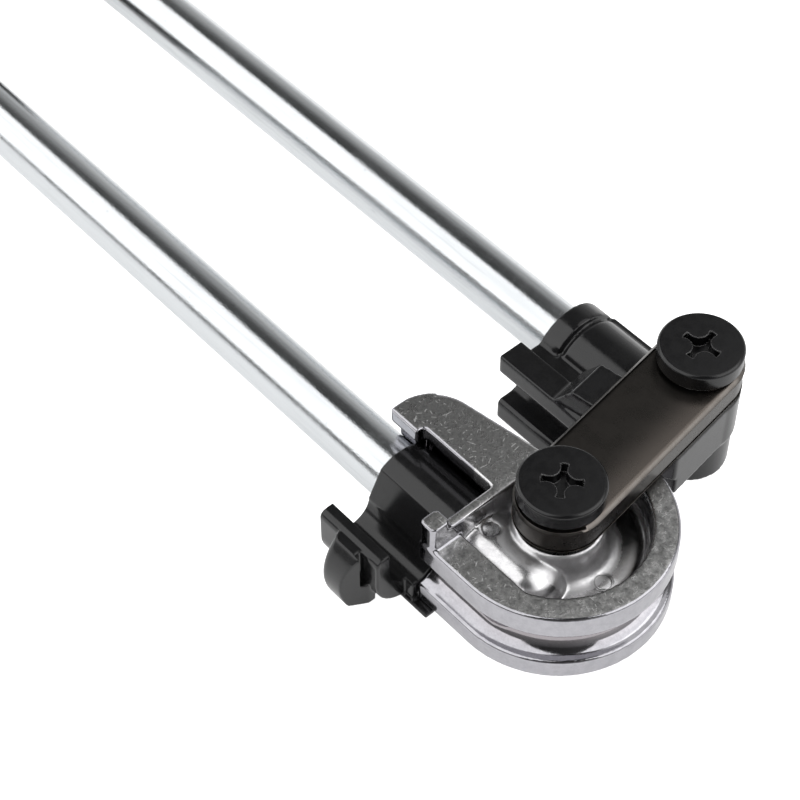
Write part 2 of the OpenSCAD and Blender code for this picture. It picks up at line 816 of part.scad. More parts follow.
bend_die();
die_handle();
die_handle_pin();
die_grip();
latch();
link_plate();
link_bush();
die_pivot_screw();
die_head_washer();
die_pivot_spacer();
die_nut_washer();
die_pivot_nut();
shoe();
shoe_bush();
shoe_handle();
shoe_handle_pin();
shoe_grip();
shoe_pivot_screw();
shoe_head_washer();
shoe_pivot_spacer();
shoe_nut_washer();
shoe_pivot_nut();
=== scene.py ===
import bpy
import bmesh
import json
import numpy as np
from math import radians
from mathutils import Matrix, Vector


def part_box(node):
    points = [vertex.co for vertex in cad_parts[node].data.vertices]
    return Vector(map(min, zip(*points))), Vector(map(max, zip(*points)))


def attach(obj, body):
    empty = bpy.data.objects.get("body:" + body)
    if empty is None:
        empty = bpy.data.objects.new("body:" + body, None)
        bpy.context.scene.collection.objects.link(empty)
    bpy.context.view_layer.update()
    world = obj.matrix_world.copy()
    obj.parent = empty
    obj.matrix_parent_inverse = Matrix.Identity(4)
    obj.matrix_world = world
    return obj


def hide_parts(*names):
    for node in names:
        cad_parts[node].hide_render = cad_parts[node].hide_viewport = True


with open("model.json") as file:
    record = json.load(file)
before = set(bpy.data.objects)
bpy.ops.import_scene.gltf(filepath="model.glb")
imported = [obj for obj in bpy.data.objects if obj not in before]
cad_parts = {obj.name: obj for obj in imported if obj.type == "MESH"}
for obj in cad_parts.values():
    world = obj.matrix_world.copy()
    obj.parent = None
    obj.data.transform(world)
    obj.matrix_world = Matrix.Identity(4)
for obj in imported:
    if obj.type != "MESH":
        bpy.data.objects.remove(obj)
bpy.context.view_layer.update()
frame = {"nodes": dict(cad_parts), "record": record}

bodyOf = {n: b for b, members in frame["record"]["behaviour"]["bodies"].items() for n in members}


# small helpers for node trees

def addNode(tree, kind, at=(0, 0), **values):
    node = tree.nodes.new(kind)
    node.location = at
    for key, value in values.items():
        setattr(node, key, value)
    return node


def wire(tree, source, target):
    tree.links.new(source, target)


def socketGroup(name, inputs, outputs):
    # an empty group with its named inputs and outputs
    group = bpy.data.node_groups.new(name, "ShaderNodeTree")
    for label, kind, value in inputs:
        made = group.interface.new_socket(name=label, in_out="INPUT", socket_type="NodeSocket" + kind)
        made.default_value = value
    for label, kind in outputs:
        group.interface.new_socket(name=label, in_out="OUTPUT", socket_type="NodeSocket" + kind)
    enter = addNode(group, "NodeGroupInput", (-1400, 0))
    leave = addNode(group, "NodeGroupOutput", (600, 0))
    return group, enter, leave


def mathStep(tree, operation, a, b=None, clamp=False):
    # one Math node; a and b are sockets or numbers
    node = addNode(tree, "ShaderNodeMath", operation=operation, use_clamp=clamp)
    for slot, value in enumerate((a, b)):
        if value is None:
            continue
        if isinstance(value, (int, float)):
            node.inputs[slot].default_value = value
        else:
            wire(tree, value, node.inputs[slot])
    return node.outputs[0]


def rampStep(tree, source, low, high, toLow=0.0, toHigh=1.0):
    # smooth step of a value from low..high to toLow..toHigh
    node = addNode(tree, "ShaderNodeMapRange", interpolation_type="SMOOTHSTEP")
    wire(tree, source, node.inputs["Value"])
    for label, value in (("From Min", low), ("From Max", high), ("To Min", toLow), ("To Max", toHigh)):
        if isinstance(value, (int, float)):
            node.inputs[label].default_value = value
        else:
            wire(tree, value, node.inputs[label])
    return node.outputs["Result"]


def noiseStep(tree, coords, scale, detail=4.0, rough=0.55, stretch=None, turn=0.0):
    # noise over object coordinates in metres; stretch and turn make it directional
    if stretch is not None:
        mapping = addNode(tree, "ShaderNodeMapping")
        mapping.inputs["Rotation"].default_value = (0.0, 0.0, radians(turn))
        mapping.inputs["Scale"].default_value = stretch
        wire(tree, coords, mapping.inputs["Vector"])
        coords = mapping.outputs[0]
    noise = addNode(tree, "ShaderNodeTexNoise")
    noise.inputs["Scale"].default_value = scale
    noise.inputs["Detail"].default_value = detail
    noise.inputs["Roughness"].default_value = rough
    wire(tree, coords, noise.inputs["Vector"])
    return noise.outputs["Fac"]


def mixStep(tree, factor, a, b):
    # colour mix; a and b are sockets or colours
    node = addNode(tree, "ShaderNodeMix", data_type="RGBA")
    wire(tree, factor, node.inputs["Factor"])
    for slot, value in ((6, a), (7, b)):
        if isinstance(value, tuple):
            node.inputs[slot].default_value = (*value, 1.0)
        else:
            wire(tree, value, node.inputs[slot])
    return node.outputs[2]


def valueMix(tree, factor, a, b):
    # blend of two values
    node = addNode(tree, "ShaderNodeMix", data_type="FLOAT")
    wire(tree, factor, node.inputs["Factor"])
    wire(tree, a, node.inputs["A"])
    wire(tree, b, node.inputs["B"])
    return node.outputs["Result"]


def planStep(tree, place):
    # the place with its height taken out
    node = addNode(tree, "ShaderNodeCombineXYZ")
    wire(tree, place.outputs["X"], node.inputs["X"])
    wire(tree, place.outputs["Y"], node.inputs["Y"])
    return node.outputs[0]


# shared effects

edgeWearLook = {
    "samples": 6, "detail": 3.0, "patchBand": (0.3, 0.6), "patchShare": (0.45, 1.0), "leanStart": 0.12,
}


def makeEdgeWear():
    # how far the rounded normal leans from the face: high along edges, broken up by noise
    group, enter, leave = socketGroup(
        "edgeWear",
        [("Radius", "Float", 0.0006), ("Patch Size", "Float", 300.0), ("Full Lean", "Float", 0.16)],
        [("Mask", "Float")],
    )
    bevel = addNode(group, "ShaderNodeBevel", samples=edgeWearLook["samples"])
    wire(group, enter.outputs["Radius"], bevel.inputs["Radius"])
    geometry = addNode(group, "ShaderNodeNewGeometry")
    dot = addNode(group, "ShaderNodeVectorMath", operation="DOT_PRODUCT")
    wire(group, bevel.outputs["Normal"], dot.inputs[0])
    wire(group, geometry.outputs["Normal"], dot.inputs[1])
    lean = mathStep(group, "SUBTRACT", 1.0, dot.outputs["Value"])
    coords = addNode(group, "ShaderNodeTexCoord").outputs["Object"]
    noise = addNode(group, "ShaderNodeTexNoise")
    noise.inputs["Detail"].default_value = edgeWearLook["detail"]
    wire(group, enter.outputs["Patch Size"], noise.inputs["Scale"])
    wire(group, coords, noise.inputs["Vector"])
    patch = rampStep(group, noise.outputs["Fac"], *edgeWearLook["patchBand"], *edgeWearLook["patchShare"])
    fullLean = enter.outputs["Full Lean"]
    leanStart = mathStep(group, "MULTIPLY", fullLean, edgeWearLook["leanStart"])
    edge = rampStep(group, lean, leanStart, fullLean)
    wire(group, mathStep(group, "MULTIPLY", edge, patch, True), leave.inputs["Mask"])
    return group


castSkinLook = {
    "detail": {"Cloud": 6.0, "Pebble": 3.0}, "rough": 0.62,
    "cloudBand": (0.34, 0.66), "pebbleBand": (0.3, 0.7), "cloudShare": 0.65, "pebbleShare": 0.35,
}


def makeCastSkin():
    # cloudy tone from two noises and a fine pebble for the height
    group, enter, leave = socketGroup(
        "castSkin",
        [("Cloud", "Float", 260.0), ("Pebble", "Float", 1900.0)],
        [("Tone", "Float"), ("Height", "Float")],
    )
    coords = addNode(group, "ShaderNodeTexCoord").outputs["Object"]
    found = {}
    for label, detail in castSkinLook["detail"].items():
        noise = addNode(group, "ShaderNodeTexNoise")
        noise.inputs["Detail"].default_value = detail
        noise.inputs["Roughness"].default_value = castSkinLook["rough"]
        wire(group, enter.outputs[label], noise.inputs["Scale"])
        wire(group, coords, noise.inputs["Vector"])
        found[label] = noise.outputs["Fac"]
    cloud = rampStep(group, found["Cloud"], *castSkinLook["cloudBand"])
    pebble = rampStep(group, found["Pebble"], *castSkinLook["pebbleBand"])
    cloudShare = mathStep(group, "MULTIPLY", cloud, castSkinLook["cloudShare"])
    pebbleShare = mathStep(group, "MULTIPLY", pebble, castSkinLook["pebbleShare"])
    tone = mathStep(group, "ADD", cloudShare, pebbleShare)
    wire(group, tone, leave.inputs["Tone"])
    wire(group, pebble, leave.inputs["Height"])
    return group


scratchLook = {"fullTurn": 6.2832, "halfLength": 0.5, "endFade": 0.12}


def makeScratches():
    # one straight scratch in each cell of a flat pattern, turned and cut short at random
    group, enter, leave = socketGroup(
        "shortScratches",
        [("Cells", "Float", 420.0), ("Width", "Float", 0.035), ("Share", "Float", 0.4)],
        [("Mask", "Float")],
    )
    coords = addNode(group, "ShaderNodeTexCoord").outputs["Object"]
    cells = addNode(group, "ShaderNodeTexVoronoi", voronoi_dimensions="2D", feature="F1")
    wire(group, coords, cells.inputs["Vector"])
    wire(group, enter.outputs["Cells"], cells.inputs["Scale"])
    away = addNode(group, "ShaderNodeVectorMath", operation="SUBTRACT")
    wire(group, coords, away.inputs[0])
    wire(group, cells.outputs["Position"], away.inputs[1])
    local = addNode(group, "ShaderNodeVectorMath", operation="SCALE")
    wire(group, away.outputs[0], local.inputs[0])
    wire(group, enter.outputs["Cells"], local.inputs["Scale"])
    chance = addNode(group, "ShaderNodeSeparateColor")
    wire(group, cells.outputs["Color"], chance.inputs[0])
    spin = addNode(group, "ShaderNodeVectorRotate", rotation_type="Z_AXIS")
    wire(group, local.outputs[0], spin.inputs["Vector"])
    angle = mathStep(group, "MULTIPLY", chance.outputs["Red"], scratchLook["fullTurn"])
    wire(group, angle, spin.inputs["Angle"])
    split = addNode(group, "ShaderNodeSeparateXYZ")
    wire(group, spin.outputs[0], split.inputs[0])
    across = mathStep(group, "ABSOLUTE", split.outputs["Y"])
    along = mathStep(group, "ABSOLUTE", split.outputs["X"])
    half = mathStep(group, "MULTIPLY", chance.outputs["Green"], scratchLook["halfLength"])
    thin = rampStep(group, across, 0.0, enter.outputs["Width"], 1.0, 0.0)
    past = mathStep(group, "SUBTRACT", along, half)
    ends = rampStep(group, past, -scratchLook["endFade"], 0.0, 1.0, 0.0)
    there = mathStep(group, "LESS_THAN", chance.outputs["Blue"], enter.outputs["Share"])
    scratch = mathStep(group, "MULTIPLY", thin, ends)
    wire(group, mathStep(group, "MULTIPLY", scratch, there), leave.inputs["Mask"])
    return group


edgeWear = makeEdgeWear()
castSkin = makeCastSkin()
shortScratches = makeScratches()
print("shared effects made")


# materials

toneBand = (0.2, 0.8)  # the part of a tone's range that gloss and colour follow


def startMaterial(name):
    material = bpy.data.materials.new(name)
    material.use_nodes = True
    tree = material.node_tree
    shader = tree.nodes["Principled BSDF"]
    return material, tree, shader


def placeGroup(tree, group, **values):
    node = addNode(tree, "ShaderNodeGroup")
    node.node_tree = group
    for key, value in values.items():
        node.inputs[key].default_value = value
    return node


def bumpStep(tree, shader, height, strength, distance):
    bump = addNode(tree, "ShaderNodeBump")
    bump.inputs["Strength"].default_value = strength
    bump.inputs["Distance"].default_value = distance
    wire(tree, height, bump.inputs["Height"])
    wire(tree, bump.outputs["Normal"], shader.inputs["Normal"])


aluminium = {
    "dull": (0.37, 0.365, 0.39),
    "bright": (0.44, 0.435, 0.46),
    "panDull": (0.58, 0.575, 0.585),
    "panBright": (0.68, 0.675, 0.68),
    # painted shade colour for the dark band in the groove
    "groove": (0.30, 0.265, 0.275),
    "edge": (0.86, 0.86, 0.855),
    "flatDull": (0.17, 0.17, 0.168),
    "flatBright": (0.54, 0.538, 0.532),
    "flatRough": (0.24, 0.42),
    "wallRough": (0.08, 0.14),
    "panRough": (0.18, 0.26),
    "flareRough": (0.32, 0.42),
    "cloud": 430.0, "pebble": 1500.0,
    "flatLevel": 0.0247, "flatBlend": 0.0004, "flatLean": (0.93, 0.99),
    "armStart": -0.0150, "armBlend": 0.001, "armMottle": 0.72,
    "panRadius": 0.0224, "panBlend": 0.0006,
    "flareRadius": 0.0148, "flareBlend": 0.0012,
    "grooveLevel": 0.013, "grooveBand": (0.0012, 0.0052),
    "grooveStart": (0.0226, 0.0230), "grooveShare": 0.75,
    "markPlace": (0.0156, 0.0, 0.0), "markRadius": 0.0021,
    "markLine": (0.00006, 0.00024), "markTop": 0.0180, "markShare": 0.6,
    "coarseScratches": {"Cells": 400.0, "Width": 0.065, "Share": 0.42},
    "fineScratches": {"Cells": 760.0, "Width": 0.11, "Share": 0.40},
    "scratchPatch": 70.0, "patchBand": (0.30, 0.58), "patchShare": (0.25, 1.0), "scratchShare": 0.9,
    "wearRadius": 0.0006, "wearShare": 0.8,
    "wallRelief": 0.10, "relief": 0.35, "reliefDepth": 0.00009,
}


def distanceStep(tree, plan, place):
    # distance in plan from a fixed place
    node = addNode(tree, "ShaderNodeVectorMath", operation="DISTANCE")
    wire(tree, plan, node.inputs[0])
    node.inputs[1].default_value = place
    return node.outputs["Value"]


def makeAluminium():
    # die-cast metal: glossy on the walls, satin in the pan, mottled and scratched on the flat tops
    material, tree, shader = startMaterial("castAluminium")
    look = aluminium
    coords = addNode(tree, "ShaderNodeTexCoord").outputs["Object"]
    geometry = addNode(tree, "ShaderNodeNewGeometry")
    lean = addNode(tree, "ShaderNodeSeparateXYZ")
    wire(tree, geometry.outputs["Normal"], lean.inputs[0])
    place = addNode(tree, "ShaderNodeSeparateXYZ")
    wire(tree, coords, place.inputs[0])
    plan = planStep(tree, place)
    skin = placeGroup(tree, castSkin, Cloud=look["cloud"], Pebble=look["pebble"])
    tone = skin.outputs["Tone"]

    # where the surface is: flat top, arm, pan, flare of the hub, the painted dark band in the groove,
    # ejector mark
    facing = rampStep(tree, lean.outputs["Z"], *look["flatLean"])
    raised = rampStep(tree, place.outputs["Z"], look["flatLevel"] - look["flatBlend"], look["flatLevel"])
    flat = mathStep(tree, "MULTIPLY", facing, raised)
    armFrom = look["armStart"] - look["armBlend"]
    arm = rampStep(tree, place.outputs["X"], armFrom, look["armStart"], 1.0, 0.0)
    reach = distanceStep(tree, plan, (0.0, 0.0, 0.0))
    panTo = look["panRadius"] + look["panBlend"]
    pan = rampStep(tree, reach, look["panRadius"], panTo, 1.0, 0.0)
    flareTo = look["flareRadius"] + look["flareBlend"]
    flare = rampStep(tree, reach, look["flareRadius"], flareTo, 1.0, 0.0)
    # painted shade: a dark band along the upper back of the groove stands in for the dark reflection there
    level = mathStep(tree, "ABSOLUTE", mathStep(tree, "SUBTRACT", place.outputs["Z"], look["grooveLevel"]))
    groove = rampStep(tree, level, *look["grooveBand"], 1.0, 0.0)
    groove = mathStep(tree, "MULTIPLY", groove, rampStep(tree, reach, *look["grooveStart"]))
    ring = mathStep(tree, "SUBTRACT", distanceStep(tree, plan, look["markPlace"]), look["markRadius"])
    ring = rampStep(tree, mathStep(tree, "ABSOLUTE", ring), *look["markLine"], 1.0, 0.0)
    under = mathStep(tree, "LESS_THAN", place.outputs["Z"], look["markTop"])
    ring = mathStep(tree, "MULTIPLY", ring, under)

    # colour
    outer = mixStep(tree, tone, look["dull"], look["bright"])
    # the groove band is darkened here as painted shade
    outer = mixStep(tree, mathStep(tree, "MULTIPLY", groove, look["grooveShare"]), outer, look["groove"])
    inner = mixStep(tree, tone, look["panDull"], look["panBright"])
    inner = mixStep(tree, mathStep(tree, "MULTIPLY", ring, look["markShare"]), inner, look["flatDull"])
    wall = mixStep(tree, pan, outer, inner)
    mottle = mathStep(tree, "MULTIPLY", tone, rampStep(tree, arm, 0.0, 1.0, 1.0, look["armMottle"]))
    top = mixStep(tree, mottle, look["flatDull"], look["flatBright"])
    colour = mixStep(tree, flat, wall, top)

    # short scratches on the flats, worn edges
    coarse = placeGroup(tree, shortScratches, **look["coarseScratches"])
    fine = placeGroup(tree, shortScratches, **look["fineScratches"])
    patch = noiseStep(tree, coords, look["scratchPatch"], 2.0)
    patch = rampStep(tree, patch, *look["patchBand"], *look["patchShare"])
    lines = mathStep(tree, "MAXIMUM", coarse.outputs["Mask"], fine.outputs["Mask"])
    lines = mathStep(tree, "MULTIPLY", mathStep(tree, "MULTIPLY", lines, patch), flat)
    colour = mixStep(tree, mathStep(tree, "MULTIPLY", lines, look["scratchShare"]), colour, look["edge"])
    wear = placeGroup(tree, edgeWear, Radius=look["wearRadius"])
    worn = mathStep(tree, "MULTIPLY", wear.outputs["Mask"], look["wearShare"])
    colour = mixStep(tree, worn, colour, look["edge"])
    wire(tree, colour, shader.inputs["Base Color"])
    shader.inputs["Metallic"].default_value = 1.0

    # gloss and relief
    gloss = {}
    for key in ("wallRough", "panRough", "flareRough", "flatRough"):
        gloss[key] = rampStep(tree, tone, 0.0, 1.0, look[key][1], look[key][0])
    rough = valueMix(tree, pan, gloss["wallRough"], gloss["panRough"])
    rough = valueMix(tree, flare, rough, gloss["flareRough"])
    wire(tree, valueMix(tree, flat, rough, gloss["flatRough"]), shader.inputs["Roughness"])
    pebble = mathStep(tree, "MULTIPLY", tone, rampStep(tree, flat, 0.0, 1.0, look["wallRelief"], 1.0))
    relief = mathStep(tree, "SUBTRACT", pebble, mathStep(tree, "MAXIMUM", lines, ring))
    bumpStep(tree, shader, relief, look["relief"], look["reliefDepth"])
    return material


tube = {
    "base": (0.63, 0.65, 0.665), "streak": (0.42, 0.445, 0.46), "rough": (0.10, 0.20),
    "fine": 900.0, "fineStretch": (0.03, 1.0, 1.0), "fineBand": (0.52, 0.74), "fineShare": 0.35,
    "broad": 240.0, "broadStretch": (0.10, 1.0, 1.0), "broadBand": (0.5, 0.75), "broadShare": 0.25,
    "cloud": 60.0, "cloudBand": (0.3, 0.7), "speck": 520.0, "speckBand": (0.70, 0.76), "speckShare": 0.5,
    "crystal": 2200.0, "crystalRelief": 0.85, "drawnRelief": 0.15, "relief": 0.9, "reliefDepth": 0.00005,
}


def makeTube():
    # plated steel tube, drawn lines run along X
    material, tree, shader = startMaterial("platedTube")
    coords = addNode(tree, "ShaderNodeTexCoord").outputs["Object"]
    fine = noiseStep(tree, coords, tube["fine"], 3.0, 0.6, tube["fineStretch"])
    broad = noiseStep(tree, coords, tube["broad"], 4.0, 0.6, tube["broadStretch"])
    cloud = noiseStep(tree, coords, tube["cloud"], 5.0, 0.6)
    speck = rampStep(tree, noiseStep(tree, coords, tube["speck"], 2.0, 0.5), *tube["speckBand"])
    streak = mathStep(tree, "MULTIPLY", rampStep(tree, fine, *tube["fineBand"]), tube["fineShare"])
    wide = mathStep(tree, "MULTIPLY", rampStep(tree, broad, *tube["broadBand"]), tube["broadShare"])
    streak = mathStep(tree, "ADD", streak, wide, True)
    streak = mathStep(tree, "MAXIMUM", streak, mathStep(tree, "MULTIPLY", speck, tube["speckShare"]))
    wire(tree, mixStep(tree, streak, tube["base"], tube["streak"]), shader.inputs["Base Color"])
    shader.inputs["Metallic"].default_value = 1.0
    rough = rampStep(tree, cloud, *tube["cloudBand"], *tube["rough"])
    wire(tree, rough, shader.inputs["Roughness"])
    crystal = noiseStep(tree, coords, tube["crystal"], 3.0, 0.6)
    drawn = mathStep(tree, "MULTIPLY", fine, tube["drawnRelief"])
    skin = mathStep(tree, "ADD", drawn, mathStep(tree, "MULTIPLY", crystal, tube["crystalRelief"]))
    bumpStep(tree, shader, skin, tube["relief"], tube["reliefDepth"])
    return material


casting = {
    "base": (0.010, 0.010, 0.0105), "worn": (0.030, 0.030, 0.030), "rough": (0.15, 0.21),
    "cloud": 220.0, "pebble": 1300.0, "wearRadius": 0.0005, "wearPatch": 420.0,
    "relief": 0.10, "reliefDepth": 0.00004,
}


def makeBlackCasting():
    # black lacquer over a cast skin
    material, tree, shader = startMaterial("blackCasting")
    skin = placeGroup(tree, castSkin, Cloud=casting["cloud"], Pebble=casting["pebble"])
    wear = placeGroup(tree, edgeWear, Radius=casting["wearRadius"], **{"Patch Size": casting["wearPatch"]})
    colour = mixStep(tree, wear.outputs["Mask"], casting["base"], casting["worn"])
    wire(tree, colour, shader.inputs["Base Color"])
    rough = rampStep(tree, skin.outputs["Tone"], *toneBand, *casting["rough"])
    wire(tree, rough, shader.inputs["Roughness"])
    bumpStep(tree, shader, skin.outputs["Tone"], casting["relief"], casting["reliefDepth"])
    return material


linkSteel = {
    "base": (0.052, 0.048, 0.044),
    "pale": (0.060, 0.055, 0.050),
    # painted highlight colour for the top near the outer edge
    "paintedSheenColour": (0.190, 0.166, 0.148),
    "edge": (0.24, 0.225, 0.21),
    "rough": (0.27, 0.31),
    "lead": -8.0,
    "paintedSheenFrom": -0.002, "paintedSheenTo": 0.0105, "paintedSheenLean": (0.5, 0.95),
    "cloud": 150.0, "pebble": 2400.0,
    "grain": 1500.0, "grainStretch": (0.06, 1.0, 0.5), "grainShare": 0.4,
    "wearRadius": 0.0007, "wearShare": 0.5,
    "relief": 0.03, "reliefDepth": 0.00003,
}


def makeLinkSteel():
    # blackened steel with a faint ground grain; its top is painted paler towards the outer edge as a
    # painted highlight
    material, tree, shader = startMaterial("blackenedLink")
    coords = addNode(tree, "ShaderNodeTexCoord").outputs["Object"]
    look = linkSteel
    skin = placeGroup(tree, castSkin, Cloud=look["cloud"], Pebble=look["pebble"])
    grain = noiseStep(tree, coords, look["grain"], 3.0, 0.6, look["grainStretch"], look["lead"])
    weighed = mathStep(tree, "MULTIPLY", skin.outputs["Tone"], 1.0 - look["grainShare"])
    tone = mathStep(tree, "ADD", weighed, mathStep(tree, "MULTIPLY", grain, look["grainShare"]))
    colour = mixStep(tree, rampStep(tree, tone, *toneBand), look["base"], look["pale"])
    # turned so that X runs across the link and Y along it
    turned = addNode(tree, "ShaderNodeVectorRotate", rotation_type="Z_AXIS")
    turned.inputs["Angle"].default_value = radians(look["lead"])
    wire(tree, coords, turned.inputs["Vector"])
    across = addNode(tree, "ShaderNodeSeparateXYZ")
    wire(tree, turned.outputs[0], across.inputs[0])
    # painted highlight: the top grows paler towards the outer edge, standing in for the sheen of its
    # rounded edge
    paintedSheen = rampStep(tree, across.outputs["X"], look["paintedSheenFrom"], look["paintedSheenTo"])
    lean = addNode(tree, "ShaderNodeSeparateXYZ")
    wire(tree, addNode(tree, "ShaderNodeNewGeometry").outputs["Normal"], lean.inputs[0])
    paintedSheen = mathStep(tree, "MULTIPLY", paintedSheen, paintedSheen)
    paintedSheen = mathStep(tree, "MULTIPLY", paintedSheen, rampStep(tree, lean.outputs["Z"], *look["paintedSheenLean"]))
    colour = mixStep(tree, paintedSheen, colour, look["paintedSheenColour"])
    wear = placeGroup(tree, edgeWear, Radius=look["wearRadius"])
    worn = mathStep(tree, "MULTIPLY", wear.outputs["Mask"], look["wearShare"])
    colour = mixStep(tree, worn, colour, look["edge"])
    wire(tree, colour, shader.inputs["Base Color"])
    shader.inputs["Metallic"].default_value = 1.0
    wire(tree, rampStep(tree, tone, *toneBand, *look["rough"]), shader.inputs["Roughness"])
    bumpStep(tree, shader, grain, look["relief"], look["reliefDepth"])
    return material


screwBlack = {
    "base": (0.0035, 0.0035, 0.004), "edge": (0.42, 0.415, 0.41), "rough": (0.20, 0.26),
    "cloud": 420.0, "pebble": 2300.0,
    "wearRadius": 0.0004, "wearPatch": 600.0, "wearAndHighlightLean": 0.09, "wearShare": 0.8,
    "relief": 0.05, "reliefDepth": 0.00004,
}


def makeScrewBlack():
    # black finish worn bright on the edges of the heads; the bright edges are partly real wear and partly
    # painted highlight lines along the head and recess edges
    material, tree, shader = startMaterial("blackScrew")
    look = screwBlack
    skin = placeGroup(tree, castSkin, Cloud=look["cloud"], Pebble=look["pebble"])
    spread = {"Patch Size": look["wearPatch"], "Full Lean": look["wearAndHighlightLean"]}
    wear = placeGroup(tree, edgeWear, Radius=look["wearRadius"], **spread)
    # bright edge colour: part real wear, part painted highlight
    worn = mathStep(tree, "MULTIPLY", wear.outputs["Mask"], look["wearShare"])
    colour = mixStep(tree, worn, look["base"], look["edge"])
    wire(tree, colour, shader.inputs["Base Color"])
    rough = rampStep(tree, skin.outputs["Tone"], *toneBand, *look["rough"])
    wire(tree, rough, shader.inputs["Roughness"])
    bumpStep(tree, shader, skin.outputs["Tone"], look["relief"], look["reliefDepth"])
    return material


plainSteel = {"dark": (0.52, 0.52, 0.53), "light": (0.62, 0.62, 0.63), "rough": (0.12, 0.22)}
bronzeBush = {"dark": (0.42, 0.27, 0.12), "light": (0.60, 0.41, 0.20), "rough": (0.28, 0.42)}
turnedSkin = {"cloud": 500.0, "pebble": 2600.0, "relief": 0.12, "reliefDepth": 0.00004}


def makePlainMetal(name, dark, light, rough):
    # turned metal for the small hardware: fine cloud in tone and gloss
    material, tree, shader = startMaterial(name)
    skin = placeGroup(tree, castSkin, Cloud=turnedSkin["cloud"], Pebble=turnedSkin["pebble"])
    wire(tree, mixStep(tree, skin.outputs["Tone"], dark, light), shader.inputs["Base Color"])
    shader.inputs["Metallic"].default_value = 1.0
    wire(tree, rampStep(tree, skin.outputs["Tone"], *toneBand, *rough), shader.inputs["Roughness"])
    bumpStep(tree, shader, skin.outputs["Height"], turnedSkin["relief"], turnedSkin["reliefDepth"])
    return material


rubber = {
    "base": (0.012, 0.012, 0.013), "chalk": (0.030, 0.030, 0.031), "rough": (0.52, 0.68),
    "cloud": 90.0, "pebble": 1400.0, "relief": 0.25, "reliefDepth": 0.00008,
}


def makeRubber():
    # matt moulded rubber with a chalky bloom
    material, tree, shader = startMaterial("gripRubber")
    skin = placeGroup(tree, castSkin, Cloud=rubber["cloud"], Pebble=rubber["pebble"])
    colour = mixStep(tree, skin.outputs["Tone"], rubber["base"], rubber["chalk"])
    wire(tree, colour, shader.inputs["Base Color"])
    rough = rampStep(tree, skin.outputs["Tone"], *toneBand, *rubber["rough"])
    wire(tree, rough, shader.inputs["Roughness"])
    bumpStep(tree, shader, skin.outputs["Height"], rubber["relief"], rubber["reliefDepth"])
    return material


finishes = {
    "cast_aluminium": makeAluminium(),
    "plated_tube": makeTube(),
    "black_casting": makeBlackCasting(),
    "black_steel": makeLinkSteel(),
    "black_screw": makeScrewBlack(),
    "plain_steel": makePlainMetal("plainSteel", **plainSteel),
    "bronze": makePlainMetal("bronzeBush", **bronzeBush),
    "grip_rubber": makeRubber(),
}
print("materials made:", len(finishes))


# pieces

finishOf = {
    "bend_die": "cast_aluminium",
    "die_handle": "plated_tube", "shoe_handle": "plated_tube",
    "latch": "black_casting", "shoe": "black_casting",
    "link_plate": "black_steel",
    "die_pivot_screw": "black_screw", "shoe_pivot_screw": "black_screw",
    "die_head_washer": "black_screw", "shoe_head_washer": "black_screw",
    "die_pivot_spacer": "black_screw", "shoe_pivot_spacer": "black_screw",
    "die_nut_washer": "plain_steel", "shoe_nut_washer": "plain_steel",
    "die_pivot_nut": "plain_steel", "shoe_pivot_nut": "plain_steel",
    "die_handle_pin": "plain_steel", "shoe_handle_pin": "plain_steel",
    "link_bush": "bronze", "shoe_bush": "bronze",
    "die_grip": "grip_rubber", "shoe_grip": "grip_rubber",
}
for nodeName, finishName in finishOf.items():
    node = frame["nodes"][nodeName]
    if not node.material_slots:
        node.data.materials.append(None)
    for slot in node.material_slots:
        slot.material = finishes[finishName]

mergeReach = 2e-6  # CAD points this close are one point
evenShare = 0.5  # how far a point moves to its neighbours' middle in each pass
softEdges = {
    "bend_die": {"grid": 0.00046, "passes": 5},
    "latch": {"grid": 0.00030, "passes": 5},
    "shoe": {"grid": 0.00042, "passes": 6},
}


def mergedSkin(nodeName):
    # the CAD shape with its coinciding points joined
    skin = bmesh.new()
    skin.from_mesh(frame["nodes"][nodeName].data)
    bmesh.ops.remove_doubles(skin, verts=skin.verts, dist=mergeReach)
    return skin


def castCopy(nodeName, grid, passes):
    # the CAD shape sampled on a fine grid and evened out, so its edges come out round as cast
    mesh = bpy.data.meshes.new(nodeName + "Cast")
    skin = mergedSkin(nodeName)
    skin.to_mesh(mesh)
    skin.free()
    maker = bpy.data.objects.new(nodeName + "Maker", mesh)
    bpy.context.scene.collection.objects.link(maker)
    remesh = maker.modifiers.new("fineGrid", "REMESH")
    remesh.mode = "VOXEL"
    remesh.voxel_size = grid
    remesh.use_smooth_shade = True
    even = maker.modifiers.new("roundedEdges", "SMOOTH")
    even.factor = evenShare
    even.iterations = passes
    bpy.context.view_layer.update()
    made = bpy.data.meshes.new_from_object(maker.evaluated_get(bpy.context.evaluated_depsgraph_get()))
    bpy.data.objects.remove(maker)
    made.name = nodeName + "Cast"
    made.materials.clear()
    made.materials.append(finishes[finishOf[nodeName]])
    piece = bpy.data.objects.new(nodeName + "Cast", made)
    bpy.context.scene.collection.objects.link(piece)
    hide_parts(nodeName)
    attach(piece, bodyOf[nodeName])
    print("rounded", nodeName, len(made.polygons), "faces")
    return piece


castPieces = {nodeName: castCopy(nodeName, **settings) for nodeName, settings in softEdges.items()}
print("rounded pieces made:", len(softEdges))

armRim = {
    "endCentre": (-0.0363, -0.0070), "endRadius": 0.0124, "slope": 8.0,
    "from": -0.0450, "to": -0.0125,
    "top": 0.0301, "over": 0.0003, "band": 0.0022, "depth": 0.0020, "passes": 34,
}


